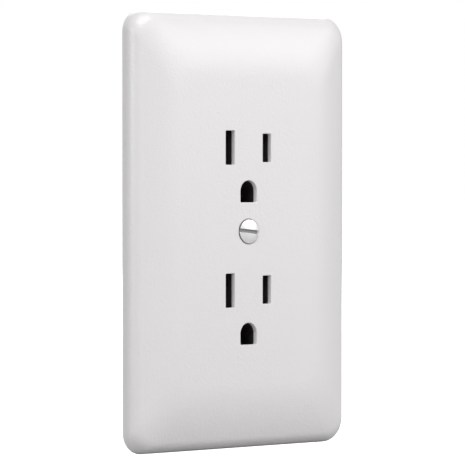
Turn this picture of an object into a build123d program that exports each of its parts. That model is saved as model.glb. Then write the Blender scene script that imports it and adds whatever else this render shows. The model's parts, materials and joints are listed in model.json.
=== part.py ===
from build123d import *
import math
import os

os.makedirs("parts", exist_ok=True)

# Frame, in mm: +X is right seen from the front, +Y goes into the wall, +Z is up.
# The origin lies on the wall plane, on the axis of the centre screw.

# --- Standard positions of a duplex outlet ---
OUTLET_PITCH = 38.894
SLOT_X = 6.35
SLOT_LINE_RISE = 3.38
GROUND_DROP = 11.9
BOX_SCREW_PITCH = 83.34

# --- Openings for the plug ---
NEUTRAL_SLOT = (3.1, 9.3)
HOT_SLOT = (2.9, 7.8)
GROUND_WIDTH = 5.6
GROUND_HEIGHT = 6.0
SLOT_CORNER = 0.3
OPENING_EASE = 0.15
COVER_OPENING_EASE = 0.3

# --- Cover plate ---
PLATE_WIDTH = 74.5
PLATE_HEIGHT = 119.4
PLATE_FRONT = -7.2
PLATE_WALL = 1.5
PLATE_CORNER = 6.0
EDGE_RADIUS = 4.3
EDGE_TURN = math.radians(75)
EDGE_STEPS = 5
SKIRT_DRAFT = 0.12
SIDE_MARGIN = 14.0
END_MARGIN = 18.0
MARGIN_DROP = 2.2
MARGIN_STEPS = 6
BOSS_RADIUS = 4.5
BOSS_BACK = -4.0

# --- Screws, major radius of the thread ---
NO6_RADIUS = 1.75
NO8_RADIUS = 2.08
NO4_RADIUS = 1.42
RUNNING_GAP = 0.04
TIP_TAPER = 0.6
TIP_STEP = 0.5
OVERSHOOT = 1.0

# --- Plate screw: oval countersunk head ---
PLATE_HEAD_RADIUS = 3.4
PLATE_HEAD_RISE = 0.75
PLATE_SCREW_LENGTH = 12.7
COUNTERSINK_HALF_ANGLE = 41.0
PLATE_SLOT_TURN = 6.0
PLATE_SLOT_WIDTH = 1.1
PLATE_SLOT_DEPTH = 1.2
PLATE_HOLE_EASE = 0.15

# --- Receptacle housing ---
BODY_WIDTH = 33.0
BODY_HEIGHT = 68.0
BODY_CORNER = 2.0
FACE_FRONT = -5.5
FACE_FLATS = 28.2
SLAB_FRONT = -2.2
PARTING = 3.0
BASE_BACK = 22.3
HOUSING_WALL = 1.6
ASSEMBLY_SCREW_RISE = 8.1
ASSEMBLY_SCREW_FRONT = -0.9
ASSEMBLY_POINT = 0.6
ASSEMBLY_HEAD = (2.8, 2.4)
ASSEMBLY_HEAD_HEIGHT = 1.6
ASSEMBLY_RECESS = (1.6, 0.35)
ASSEMBLY_RECESS_DEPTH = 0.9
ASSEMBLY_HOLE_FRONT = -1.2
ASSEMBLY_HOLE_RADIUS = 1.55
STRAP_HOLE_RADIUS = 1.6
CENTRE_BORE_RADIUS = 2.2
CENTRE_BORE_END = 14.0
FACE_POCKET_X = (4.6, 9.2)
FACE_POCKET_DROP = 3.2
FACE_POCKET_RISE = 2.6
GROUND_CHAMBER_HALF = 3.7
LEAF_CHAMBER_INNER = 4.3
LEAF_CHAMBER_HALF_HEIGHT = 4.4
CHAMBER_EASE = 0.4
CHANNEL_EASE = 0.2
FIN_WINDOW_Y = (6.8, 12.2)
FIN_WINDOW_HALF = 2.0
SHANK_CHAMBER_HALF = 2.6
TERMINAL_WINDOW_Y = (4.9, 16.2)
TERMINAL_WINDOW_HALF = 5.1
WIRE_GROOVE_FRONT = 16.0
INSERT_RADIUS = 3.5
INSERT_GROOVE_RADIUS = 3.0
INSERT_GROOVE_Y = (5.4, 6.6)
INSERT_BACK = 9.0

# --- Shutters ---
SHUTTER_FRONT = -3.75
SHUTTER_BACK = -1.25
SHUTTER_LEFT = -8.1
SHUTTER_RIGHT = 8.2
SHUTTER_HALF_HEIGHT = 5.3
WINDOW_LEFT = -4.4
WINDOW_RIGHT = 4.45
WINDOW_HALF_HEIGHT = 4.2
SHUTTER_TRAVEL = 3.3
POST_LEFT = 3.2
POST_RIGHT = 4.3
POST_HALF_HEIGHT = 1.5
ROOM_EASE = 0.2
RAMP_LAND = 0.6
RAMP_BACK = 0.7
COVER_FRONT = -1.1
COVER_BACK = -0.1
COVER_SPAN = (-10.9, 13.4)
COVER_HALF_HEIGHT = 6.4
SPRING_COIL_RADIUS = 0.95
SPRING_WIRE_RADIUS = 0.15
SPRING_COILS = 7
SPRING_END_GAP = 0.06
CLOSE_FIT = 0.05

# --- Contacts ---
STRIP_THICKNESS = 0.8
BLADE_GAP = 1.6
LEAF_HALF_HEIGHT = 3.75
LEAF_MOUTH = 4.0
LEAF_BEND = 6.0
LEAF_FLARE = 0.35
WEB_BACK = 16.8
STRIP_INNER = 12.9
TERMINAL_PLATE = 1.2
FIN_Y = (7.6, 11.4)
FIN_OUTER = 16.3
FIN_HALF_HEIGHT = 0.5
FIN_CUT_Y = (8.6, 10.4)
FIN_CUT_Z = 2.2
GROUND_BORE = 2.43
GROUND_TUBE = 3.15
GROUND_MOUTH = 4.8
GROUND_FLARE_DEPTH = 1.4
GROUND_TUBE_FLARE = 0.35
GROUND_BORE_FLARE = 0.45
GROUND_SLIT = 1.0
GROUND_SLIT_END = 17.0
GROUND_FOOT = 1.0
GROUND_FOOT_HALF = 3.5
RIVET_RADIUS = 1.5
RIVET_BUTTON = (2.7, 1.9, 0.75)
RIVET_CLINCH = (1.7, 2.3)
RIVET_CLINCH_DEPTH = 1.7
HEAD_SEAT = 0.02

# --- Terminals ---
TERMINAL_Z = 8.0
TERMINAL_Y = 10.5
TERMINAL_HALF_DEPTH = 5.3
TERMINAL_HALF_HEIGHT = 4.8
CLAMP_GAP = 0.1
CLAMP_THICKNESS = 1.2
CLAMP_HALF_DEPTH = 4.9
CLAMP_HALF_HEIGHT = 4.6
HEAD_GAP = 0.05
TERMINAL_HEAD_RADIUS = 4.1
TERMINAL_HEAD_HEIGHT = 2.2
TERMINAL_SHANK = 7.9
TERMINAL_HEAD_ROUND = 0.7
TERMINAL_SLOT_DEPTH = 1.1
TERMINAL_SLOT_WIDTH = 1.2
CLAMP_CHAMFER = 0.8
CLAMP_BORE_EASE = 0.07
RIDGE_ROWS = (-3.2, -1.1, 1.1, 3.2)
RIDGE_DEPTH = 0.2
RIDGE_WIDTH = 0.6
RIDGE_LENGTH = 2.4
WIRE_OFFSET = 3.0
WIRE_GROOVE = 3.1

# --- Mounting strap ---
STRAP_THICKNESS = 1.2
STRAP_HALF_WIDTH = 10.0
STRAP_INNER_Z = 34.05
STRAP_BACK = 22.35
EAR_TIP = 53.0
EAR_HALF_WIDTH = 13.0
EAR_HEIGHT = 7.6
EAR_SLOT = (7.4, 4.0)
EXTRUDED_COLLAR = 1.6
COLLAR_WALL = 1.0
EAR_CORNER = 2.0
EAR_SCORE = (0.9, 4.6)
EAR_SCORE_CORNER = 0.4
EAR_SCORE_X = 9.6
STRAP_BEND = 1.5
GROUND_TAB_Y = 9.0
GROUND_TAB_Z = -40.6
GROUND_TAB_HALF = 5.2
GROUND_SHANK = 6.2

# --- Mounting screws and washers ---
NECK_RADIUS = 1.6
WASHER_HALF = 4.5
WASHER_THICKNESS = 0.8
WASHER_CORNER = 0.8
MOUNTING_LENGTH = 25.4
MOUNTING_HEAD_RADIUS = 3.4
MOUNTING_HEAD_HEIGHT = 1.8
MOUNTING_HEAD_ROUND = 1.1
MOUNTING_SLOT_DEPTH = 0.9

OUTLETS = {"upper": OUTLET_PITCH / 2, "lower": -OUTLET_PITCH / 2}
HOT_SIDE = 1
NEUTRAL_SIDE = -1
STRIP_OUTER = STRIP_INNER + TERMINAL_PLATE
CLAMP_INNER = STRIP_OUTER + CLAMP_GAP
HEAD_INNER = CLAMP_INNER + CLAMP_THICKNESS + HEAD_GAP
STRAP_OUTER_Z = STRAP_INNER_Z + STRAP_THICKNESS
WIRE_GROOVE_FLOOR = STRIP_OUTER - 0.5


def slot_line(outlet):
    """Height of an outlet's two blade slots."""
    return OUTLETS[outlet] + SLOT_LINE_RISE


def ground_line(outlet):
    """Height of an outlet's ground hole."""
    return slot_line(outlet) - GROUND_DROP


def block(x, y, z):
    """A box from its low and high X, Y and Z."""
    spans = (x, y, z)
    centre = [(low + high) / 2 for low, high in spans]
    size = [high - low for low, high in spans]
    return Pos(*centre) * Box(*size)


def about(middle, half):
    """The span that reaches equally far each way from a middle."""
    return (middle - half, middle + half)


def across(side, near, far):
    """The X span between two distances from the centre line, on one side of it."""
    return tuple(sorted((side * near, side * far)))


def rod_y(radius, y, x=0, z=0):
    """A cylinder along Y."""
    return Pos(x, sum(y) / 2, z) * Rot(-90, 0, 0) * Cylinder(radius, y[1] - y[0])


def cone_y(front_radius, back_radius, y, x=0, z=0):
    """A cone along Y, with its radius at the front and at the back."""
    return Pos(x, sum(y) / 2, z) * Rot(-90, 0, 0) * Cone(front_radius, back_radius, y[1] - y[0])


def rod_x(radius, x, y, z):
    """A cylinder along X."""
    return Pos(sum(x) / 2, y, z) * Rot(0, 90, 0) * Cylinder(radius, x[1] - x[0])


def facing(y, x=0, z=0):
    """A sketch plane whose sketches are seen from the front, at depth y."""
    return Plane(origin=(x, y, z), x_dir=(1, 0, 0), z_dir=(0, -1, 0))


def prism(sketch, y, x=0, z=0):
    """A sketch seen from the front, swept between two depths."""
    return extrude(facing(y[1], x, z) * sketch, y[1] - y[0])


def slot_cutter(size, y, x, z, ease=0.0):
    """A straight blade slot with slightly rounded corners."""
    outline = RectangleRounded(size[0] + 2 * ease, size[1] + 2 * ease, SLOT_CORNER)
    return prism(outline, y, x, z)


def ground_cutter(y, z, ease=0.0):
    """The ground hole: a flat bottom and a half-round top."""
    radius = GROUND_WIDTH / 2 + ease
    crown = GROUND_HEIGHT / 2 + ease - radius
    foot = -GROUND_HEIGHT / 2 - ease
    shape = Pos(0, crown) * Circle(radius)
    shape += Pos(0, (crown + foot) / 2) * Rectangle(2 * radius, crown - foot)
    return prism(shape, y, 0, z)


def plug_openings(y, ease=0.0):
    """The six openings of both outlets, between two depths."""
    cutters = []
    for outlet in OUTLETS:
        line = slot_line(outlet)
        cutters.append(slot_cutter(NEUTRAL_SLOT, y, NEUTRAL_SIDE * SLOT_X, line, ease))
        cutters.append(slot_cutter(HOT_SLOT, y, HOT_SIDE * SLOT_X, line, ease))
        cutters.append(ground_cutter(y, ground_line(outlet), ease))
    return cutters


def pillow(inset, rim):
    """The plate's outer solid, or with an inset the hollow inside it: skirt, edge and margins."""
    width = PLATE_WIDTH - 2 * inset
    height = PLATE_HEIGHT - 2 * inset
    corner = PLATE_CORNER - inset
    edge = EDGE_RADIUS - inset
    front = PLATE_FRONT + inset
    shoulder = front + MARGIN_DROP

    def section(side_inset, end_inset, depth):
        outline = RectangleRounded(width - 2 * side_inset, height - 2 * end_inset, corner)
        return facing(depth) * outline

    skirt_top = shoulder + edge * math.sin(EDGE_TURN)
    skirt = loft([section(0, 0, rim), section(SKIRT_DRAFT, SKIRT_DRAFT, skirt_top)], ruled=True)
    edge_sections = []
    for step in range(EDGE_STEPS + 1):
        angle = EDGE_TURN * step / EDGE_STEPS
        reach = SKIRT_DRAFT + edge * (1 - math.cos(angle))
        edge_sections.append(section(reach, reach, skirt_top - edge * math.sin(angle)))
    reach = SKIRT_DRAFT + edge * (1 - math.cos(EDGE_TURN))
    margin_sections = []
    for step in range(MARGIN_STEPS + 1):
        rise = step / MARGIN_STEPS
        side_inset = reach + (SIDE_MARGIN - inset - reach) * rise
        end_inset = reach + (END_MARGIN - inset - reach) * rise
        depth = front + MARGIN_DROP * (1 - rise) ** 2
        margin_sections.append(section(side_inset, end_inset, depth))
    return skirt + loft(edge_sections) + loft(margin_sections)


def cover_plate():
    """The one-piece domed plate, hollow behind, with the plug openings and a countersunk boss."""
    plate = pillow(0, 0) - pillow(PLATE_WALL, OVERSHOOT)
    plate += rod_y(BOSS_RADIUS, (PLATE_FRONT + PLATE_WALL / 2, BOSS_BACK))
    plate -= plug_openings((PLATE_FRONT - OVERSHOOT, PLATE_FRONT + PLATE_WALL + OVERSHOOT))
    top_radius = PLATE_HEAD_RADIUS + RUNNING_GAP
    hole_radius = NO6_RADIUS + PLATE_HOLE_EASE
    depth = (top_radius - hole_radius) / math.tan(math.radians(COUNTERSINK_HALF_ANGLE))
    plate -= cone_y(top_radius, hole_radius, (PLATE_FRONT, PLATE_FRONT + depth))
    plate -= rod_y(hole_radius, (PLATE_FRONT, 0))
    return plate


def plate_screw():
    """6-32 oval-head screw, flush at the edge of its head, with a straight slot."""
    edge = PLATE_FRONT
    depth = (PLATE_HEAD_RADIUS - NO6_RADIUS) / math.tan(math.radians(COUNTERSINK_HALF_ANGLE))
    ball = (PLATE_HEAD_RADIUS**2 + PLATE_HEAD_RISE**2) / (2 * PLATE_HEAD_RISE)
    crown = Pos(0, edge - PLATE_HEAD_RISE + ball, 0) * Sphere(ball)
    crown &= rod_y(PLATE_HEAD_RADIUS, (edge - PLATE_HEAD_RISE, edge))
    tip = edge + PLATE_SCREW_LENGTH
    screw = crown + cone_y(PLATE_HEAD_RADIUS, NO6_RADIUS, (edge, edge + depth))
    screw += rod_y(NO6_RADIUS, (edge + depth, tip - TIP_TAPER))
    screw += cone_y(NO6_RADIUS, NO6_RADIUS - TIP_STEP, (tip - TIP_TAPER, tip))
    reach = PLATE_HEAD_RADIUS + OVERSHOOT
    top = edge - PLATE_HEAD_RISE
    slot = block(about(0, reach), (top - OVERSHOOT, top + PLATE_SLOT_DEPTH), about(0, PLATE_SLOT_WIDTH / 2))
    return screw - Rot(0, PLATE_SLOT_TURN, 0) * slot


def raised_face(y):
    """One outlet face: a circle cut by two level flats."""
    outline = Circle(BODY_WIDTH / 2) & Rectangle(BODY_WIDTH, FACE_FLATS)
    return prism(outline, y)


def receptacle_face():
    """Front housing: a slab with two raised outlet faces and a room behind each for its shutter."""
    face = prism(RectangleRounded(BODY_WIDTH, BODY_HEIGHT, BODY_CORNER), (SLAB_FRONT, PARTING))
    for height in OUTLETS.values():
        face += Pos(0, 0, height) * raised_face((FACE_FRONT, SLAB_FRONT))
    room_front = FACE_FRONT + HOUSING_WALL
    for outlet in OUTLETS:
        line, ground = slot_line(outlet), ground_line(outlet)
        room = (SHUTTER_LEFT - ROOM_EASE, SHUTTER_RIGHT + SHUTTER_TRAVEL + ROOM_EASE)
        cover = (COVER_SPAN[0] - CLOSE_FIT, COVER_SPAN[1] + CLOSE_FIT)
        face -= block(room, (room_front, PARTING), about(line, SHUTTER_HALF_HEIGHT + ROOM_EASE))
        face -= block(cover, (COVER_FRONT, PARTING), about(line, COVER_HALF_HEIGHT + CLOSE_FIT))
        face += block((POST_LEFT, POST_RIGHT), (room_front, SHUTTER_BACK), about(line, POST_HALF_HEIGHT))
        for side in (HOT_SIDE, NEUTRAL_SIDE):
            pocket = (ground - FACE_POCKET_DROP, ground + FACE_POCKET_RISE)
            face -= block(across(side, *FACE_POCKET_X), (room_front, PARTING), pocket)
        tapped = (ASSEMBLY_HOLE_FRONT, PARTING)
        face -= rod_y(NO4_RADIUS + RUNNING_GAP, tapped, 0, line + ASSEMBLY_SCREW_RISE)
    face -= plug_openings((FACE_FRONT - OVERSHOOT, PARTING), OPENING_EASE)
    face -= rod_y(CENTRE_BORE_RADIUS, (SLAB_FRONT, PARTING))
    return face


def receptacle_base():
    """Back housing: chambers for the contacts, windows for the terminals and grooves for the wires."""
    base = prism(RectangleRounded(BODY_WIDTH, BODY_HEIGHT, BODY_CORNER), (PARTING, BASE_BACK))
    open_side = BODY_WIDTH / 2 + OVERSHOOT
    floor = WEB_BACK + CHAMBER_EASE
    reach = LEAF_HALF_HEIGHT + CHAMBER_EASE
    strip_ends = (slot_line("lower") - reach, slot_line("upper") + reach)
    channel = (STRIP_INNER - CHANNEL_EASE, STRIP_OUTER + CHANNEL_EASE)
    for outlet in OUTLETS:
        line, ground = slot_line(outlet), ground_line(outlet)
        chamber = about(ground, GROUND_CHAMBER_HALF)
        base -= block(about(0, GROUND_CHAMBER_HALF), (PARTING, BASE_BACK), chamber)
        base -= rod_y(ASSEMBLY_HOLE_RADIUS, (PARTING, BASE_BACK), 0, line + ASSEMBLY_SCREW_RISE)
    for side in (HOT_SIDE, NEUTRAL_SIDE):
        base -= block(across(side, *channel), (PARTING, floor), strip_ends)
        base -= block(across(side, STRIP_OUTER, open_side), FIN_WINDOW_Y, about(0, FIN_WINDOW_HALF))
        for outlet in OUTLETS:
            chamber = about(slot_line(outlet), LEAF_CHAMBER_HALF_HEIGHT)
            base -= block(across(side, LEAF_CHAMBER_INNER, STRIP_OUTER), (PARTING, floor), chamber)
        for height in (TERMINAL_Z, -TERMINAL_Z):
            tip = HEAD_INNER - TERMINAL_SHANK - CHAMBER_EASE
            shank = (PARTING, TERMINAL_Y + SHANK_CHAMBER_HALF)
            window = about(height, TERMINAL_WINDOW_HALF)
            base -= block(across(side, tip, STRIP_INNER), shank, about(height, SHANK_CHAMBER_HALF))
            base -= block(across(side, STRIP_OUTER, open_side), TERMINAL_WINDOW_Y, window)
            for offset in (WIRE_OFFSET, -WIRE_OFFSET):
                groove = about(height + offset, WIRE_GROOVE / 2)
                groove_x = across(side, WIRE_GROOVE_FLOOR, open_side)
                base -= block(groove_x, (WIRE_GROOVE_FRONT, BASE_BACK), groove)
    base -= rod_y(INSERT_RADIUS + CLOSE_FIT, (PARTING, INSERT_BACK + 2 * CLOSE_FIT))
    base -= rod_y(CENTRE_BORE_RADIUS, (INSERT_BACK, CENTRE_BORE_END))
    return base


def mounting_strap():
    """Steel strap bent round the back of the housing, with slotted ears and a tab for the ground screw."""
    back = STRAP_BACK + STRAP_THICKNESS
    strap = block(about(0, STRAP_HALF_WIDTH), (STRAP_BACK, back), about(0, STRAP_OUTER_Z))
    for end in (1, -1):
        wall = tuple(sorted((end * STRAP_INNER_Z, end * STRAP_OUTER_Z)))
        neck = tuple(sorted((end * STRAP_INNER_Z, end * (EAR_TIP - EAR_CORNER))))
        strap += block(about(0, STRAP_HALF_WIDTH), (-STRAP_THICKNESS, back), wall)
        strap += block(about(0, STRAP_HALF_WIDTH), (-STRAP_THICKNESS, 0), neck)
        ear = RectangleRounded(2 * EAR_HALF_WIDTH, EAR_HEIGHT, EAR_CORNER)
        strap += prism(ear, (-STRAP_THICKNESS, 0), 0, end * (EAR_TIP - EAR_HEIGHT / 2))
    bends = [e for e in strap.edges().filter_by(Axis.X) if abs(abs(e.center().Z) - STRAP_OUTER_Z) < 0.01]
    strap = fillet([e for e in bends if e.center().Y > STRAP_BACK], STRAP_BEND)
    tab_y = about(GROUND_TAB_Y, GROUND_TAB_HALF)
    tab_x = (-STRAP_HALF_WIDTH, -STRAP_HALF_WIDTH + STRAP_THICKNESS)
    strap += block(tab_x, tab_y, (GROUND_TAB_Z - GROUND_TAB_HALF, -STRAP_INNER_Z))
    collar = (tab_x[0], tab_x[1] + EXTRUDED_COLLAR)
    strap += rod_x(NO8_RADIUS + COLLAR_WALL, collar, GROUND_TAB_Y, GROUND_TAB_Z)
    tapped = NO8_RADIUS + RUNNING_GAP
    through = (tab_x[0] - OVERSHOOT, tab_x[1] + EXTRUDED_COLLAR + OVERSHOOT)
    strap -= rod_x(tapped, through, GROUND_TAB_Y, GROUND_TAB_Z)
    for end in (1, -1):
        slot = SlotOverall(*EAR_SLOT)
        strap -= prism(slot, (-STRAP_THICKNESS, 0), 0, end * BOX_SCREW_PITCH / 2)
        for side in (1, -1):
            score = RectangleRounded(*EAR_SCORE, EAR_SCORE_CORNER)
            strap -= prism(score, (-STRAP_THICKNESS, 0), side * EAR_SCORE_X, end * (EAR_TIP - EAR_HEIGHT / 2))
    for outlet in OUTLETS:
        strap -= rod_y(STRAP_HOLE_RADIUS, (STRAP_BACK, back), 0, slot_line(outlet) + ASSEMBLY_SCREW_RISE)
        strap -= rod_y(RIVET_RADIUS + CLOSE_FIT, (STRAP_BACK, back), 0, ground_line(outlet))
    return strap


def plate_screw_insert():
    """Tapped brass insert behind the face, with a groove that keys it into the base."""
    insert = rod_y(INSERT_RADIUS, (PARTING + CLOSE_FIT, INSERT_BACK))
    ring = rod_y(INSERT_RADIUS + OVERSHOOT, INSERT_GROOVE_Y)
    insert -= ring - rod_y(INSERT_GROOVE_RADIUS, INSERT_GROOVE_Y)
    return insert - rod_y(NO6_RADIUS + RUNNING_GAP, (PARTING, INSERT_BACK))


def contact_leaf(side, line, face):
    """One springy leaf of a blade contact. face is 1 away from the centre line, or -1."""
    near = SLOT_X + face * BLADE_GAP / 2
    far = near + face * STRIP_THICKNESS
    flare = face * LEAF_FLARE
    points = [
        (near, WEB_BACK),
        (near, LEAF_BEND),
        (near + flare, LEAF_MOUTH),
        (far + flare, LEAF_MOUTH),
        (far, LEAF_BEND),
        (far, WEB_BACK),
    ]
    outline = make_face(Polyline([(side * x, y, line - LEAF_HALF_HEIGHT) for x, y in points], close=True))
    return extrude(outline, 2 * LEAF_HALF_HEIGHT, dir=(0, 0, 1))


def contact_strip(side):
    """One pole's brass strip: two terminal plates, a break-off fin, and a contact behind each slot."""
    terminal_y = about(TERMINAL_Y, TERMINAL_HALF_DEPTH)
    riser_x = across(side, STRIP_INNER, STRIP_INNER + STRIP_THICKNESS)
    riser_y = (terminal_y[0], WEB_BACK)
    plate_x = across(side, STRIP_INNER, STRIP_OUTER)
    strip = block(plate_x, FIN_Y, about(0, TERMINAL_Z))
    strip += block(across(side, STRIP_INNER, FIN_OUTER), FIN_Y, about(0, FIN_HALF_HEIGHT))
    for height in (TERMINAL_Z, -TERMINAL_Z):
        strip += block(plate_x, terminal_y, about(height, TERMINAL_HALF_HEIGHT))
    for neck in (FIN_CUT_Z, -FIN_CUT_Z):
        strip -= block(plate_x, FIN_CUT_Y, about(neck, FIN_HALF_HEIGHT))
    top = slot_line("upper") + LEAF_HALF_HEIGHT
    bottom = slot_line("lower") - LEAF_HALF_HEIGHT
    strip += block(riser_x, riser_y, (TERMINAL_Z, top))
    strip += block(riser_x, riser_y, (bottom, -TERMINAL_Z))
    leaf_inner = SLOT_X - BLADE_GAP / 2 - STRIP_THICKNESS
    for outlet in OUTLETS:
        line = slot_line(outlet)
        web_y = (WEB_BACK - STRIP_THICKNESS, WEB_BACK)
        web_x = across(side, leaf_inner, STRIP_INNER + STRIP_THICKNESS)
        strip += block(web_x, web_y, about(line, LEAF_HALF_HEIGHT))
        strip += contact_leaf(side, line, 1)
        strip += contact_leaf(side, line, -1)
    for height in (TERMINAL_Z, -TERMINAL_Z):
        strip -= rod_x(NO8_RADIUS + RUNNING_GAP, plate_x, TERMINAL_Y, height)
    return strip


def ground_contact(outlet):
    """Four brass fingers round the ground pin, on a foot riveted to the strap."""
    z = ground_line(outlet)
    foot_front = BASE_BACK - GROUND_FOOT
    mouth = (GROUND_MOUTH, GROUND_MOUTH + GROUND_FLARE_DEPTH)
    contact = rod_y(GROUND_TUBE, (mouth[1], BASE_BACK), 0, z)
    contact += cone_y(GROUND_TUBE + GROUND_TUBE_FLARE, GROUND_TUBE, mouth, 0, z)
    contact -= rod_y(GROUND_BORE, (GROUND_MOUTH, foot_front), 0, z)
    contact -= cone_y(GROUND_BORE + GROUND_BORE_FLARE, GROUND_BORE, mouth, 0, z)
    slit = (GROUND_MOUTH, GROUND_SLIT_END)
    past_tube = GROUND_TUBE + OVERSHOOT
    contact -= block(about(0, past_tube), slit, about(z, GROUND_SLIT / 2))
    contact -= block(about(0, GROUND_SLIT / 2), slit, about(z, past_tube))
    contact += block(about(0, GROUND_FOOT_HALF), (foot_front, BASE_BACK), about(z, GROUND_FOOT_HALF))
    return contact - rod_y(RIVET_RADIUS + CLOSE_FIT, (foot_front, BASE_BACK), 0, z)


def ground_contact_rivets():
    """Two brass rivets that hold the ground contacts to the strap."""
    back = STRAP_BACK + STRAP_THICKNESS
    rivets = []
    for outlet in OUTLETS:
        z = ground_line(outlet)
        clinch = (BASE_BACK - RIVET_CLINCH_DEPTH, BASE_BACK - GROUND_FOOT - CLOSE_FIT)
        button = (back + HEAD_SEAT, back + RIVET_BUTTON[2])
        rivet = rod_y(RIVET_RADIUS, (clinch[0], button[1]), 0, z)
        rivet += cone_y(*RIVET_CLINCH, clinch, 0, z)
        rivets.append(rivet + cone_y(*RIVET_BUTTON[:2], button, 0, z))
    return Compound(children=rivets)


def assembly_screws():
    """Two long self-tapping screws that clamp the strap and base to the face from behind."""
    back = STRAP_BACK + STRAP_THICKNESS
    screws = []
    for outlet in OUTLETS:
        z = slot_line(outlet) + ASSEMBLY_SCREW_RISE
        head = (back + HEAD_SEAT, back + ASSEMBLY_HEAD_HEIGHT)
        recess = (head[1] - ASSEMBLY_RECESS_DEPTH, head[1] + OVERSHOOT)
        screw = rod_y(NO4_RADIUS, (0.0, head[1] - ASSEMBLY_RECESS_DEPTH), 0, z)
        screw += cone_y(ASSEMBLY_POINT, NO4_RADIUS, (ASSEMBLY_SCREW_FRONT, 0.0), 0, z)
        screw += cone_y(*ASSEMBLY_HEAD, head, 0, z)
        for arm, half in (ASSEMBLY_RECESS, ASSEMBLY_RECESS[::-1]):
            screw -= block(about(0, arm), recess, about(z, half))
        screws.append(screw)
    return Compound(children=screws)


def shutter(outlet):
    """The slider that closes both blade slots. Its two ramps turn the blades' push into a sideways move."""
    line = slot_line(outlet)
    depth = (SHUTTER_FRONT, SHUTTER_BACK)
    slider = block((SHUTTER_LEFT, SHUTTER_RIGHT), depth, about(line, SHUTTER_HALF_HEIGHT))
    slider -= block((WINDOW_LEFT, WINDOW_RIGHT), depth, about(line, WINDOW_HALF_HEIGHT))
    for left, right in ((SHUTTER_LEFT, WINDOW_LEFT), (WINDOW_RIGHT, SHUTTER_RIGHT)):
        ramp_end = right - RAMP_LAND
        corners = [(left, SHUTTER_FRONT), (ramp_end, SHUTTER_FRONT), (left, SHUTTER_BACK - RAMP_BACK)]
        bottom = line - WINDOW_HALF_HEIGHT
        ramp = make_face(Polyline([(x, y, bottom) for x, y in corners], close=True))
        slider -= extrude(ramp, 2 * WINDOW_HALF_HEIGHT, dir=(0, 0, 1))
    return slider


def shutter_spring(outlet):
    """Coil spring between the slider and the face's fixed post."""
    start = WINDOW_LEFT + SPRING_WIRE_RADIUS + SPRING_END_GAP
    length = POST_LEFT - SPRING_WIRE_RADIUS - SPRING_END_GAP - start
    path = Helix(length / SPRING_COILS, length, SPRING_COIL_RADIUS)
    end_plane = Plane(origin=path @ 0, z_dir=path % 0)
    coil = sweep(end_plane * Circle(SPRING_WIRE_RADIUS), path)
    middle = (SHUTTER_FRONT + SHUTTER_BACK) / 2
    return Pos(start, middle, slot_line(outlet)) * Rot(0, 90, 0) * coil


def shutter_cover(outlet):
    """Thin plate that keeps the shutter in its room, with openings for the blades."""
    line = slot_line(outlet)
    depth = (COVER_FRONT, COVER_BACK)
    cover = block(COVER_SPAN, depth, about(line, COVER_HALF_HEIGHT))
    cover -= slot_cutter(NEUTRAL_SLOT, depth, NEUTRAL_SIDE * SLOT_X, line, COVER_OPENING_EASE)
    cover -= slot_cutter(HOT_SLOT, depth, HOT_SIDE * SLOT_X, line, COVER_OPENING_EASE)
    return cover


def clamp_plate(side, inner, y, z):
    """A pressure plate that its screw draws against the terminal, ridged on the wire side."""
    x = across(side, inner, inner + CLAMP_THICKNESS)
    clamp = block(x, about(y, CLAMP_HALF_DEPTH), about(z, CLAMP_HALF_HEIGHT))
    clamp = chamfer(clamp.edges().filter_by(Axis.X), CLAMP_CHAMFER)
    ridge_x = across(side, inner - OVERSHOOT, inner + RIDGE_DEPTH)
    for offset in (WIRE_OFFSET, -WIRE_OFFSET):
        for row in RIDGE_ROWS:
            clamp -= block(ridge_x, about(y + row, RIDGE_WIDTH / 2), about(z + offset, RIDGE_LENGTH / 2))
    return clamp - rod_x(NO8_RADIUS + CLAMP_BORE_EASE, x, y, z)


def terminal_screw(side, inner, y, z, shank):
    """8-32 binding-head screw with a straight slot, its head outside its clamp plate."""
    head_end = inner + TERMINAL_HEAD_HEIGHT
    screw = rod_x(TERMINAL_HEAD_RADIUS, across(side, inner, head_end), y, z)
    rim = screw.edges().filter_by(GeomType.CIRCLE).sort_by(Axis.X)
    screw = fillet(rim[-1] if side > 0 else rim[0], TERMINAL_HEAD_ROUND)
    screw += rod_x(NO8_RADIUS, across(side, inner - shank, inner), y, z)
    slot_x = across(side, head_end - TERMINAL_SLOT_DEPTH, head_end + OVERSHOOT)
    slot = block(slot_x, about(y, TERMINAL_HEAD_RADIUS + OVERSHOOT), about(z, TERMINAL_SLOT_WIDTH / 2))
    return screw - slot


def mounting_screw(z):
    """6-32 screw for the wall box: low oval head, plain neck in the ear, then the full thread."""
    seat = -STRAP_THICKNESS - CLOSE_FIT
    head = (seat - MOUNTING_HEAD_HEIGHT, seat)
    neck_end = WASHER_THICKNESS + 2 * CLOSE_FIT
    tip = head[1] + MOUNTING_LENGTH
    screw = rod_y(MOUNTING_HEAD_RADIUS, head, 0, z)
    screw = fillet(screw.edges().filter_by(GeomType.CIRCLE).sort_by(Axis.Y)[0], MOUNTING_HEAD_ROUND)
    screw += rod_y(NECK_RADIUS, (head[1], neck_end), 0, z)
    screw += rod_y(NO6_RADIUS, (neck_end, tip - TIP_TAPER), 0, z)
    screw += cone_y(NO6_RADIUS, NO6_RADIUS - TIP_STEP, (tip - TIP_TAPER, tip), 0, z)
    slot_y = (head[0] - OVERSHOOT, head[0] + MOUNTING_SLOT_DEPTH)
    slot = block(about(0, PLATE_SLOT_WIDTH / 2), slot_y, about(z, MOUNTING_HEAD_RADIUS + OVERSHOOT))
    return screw - slot


def screw_washer(z):
    """Square fibre washer that keeps the mounting screw in its slot."""
    outline = RectangleRounded(2 * WASHER_HALF, 2 * WASHER_HALF, WASHER_CORNER)
    depth = (CLOSE_FIT, CLOSE_FIT + WASHER_THICKNESS)
    return prism(outline, depth, 0, z) - rod_y(NECK_RADIUS + RUNNING_GAP, depth, 0, z)


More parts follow.
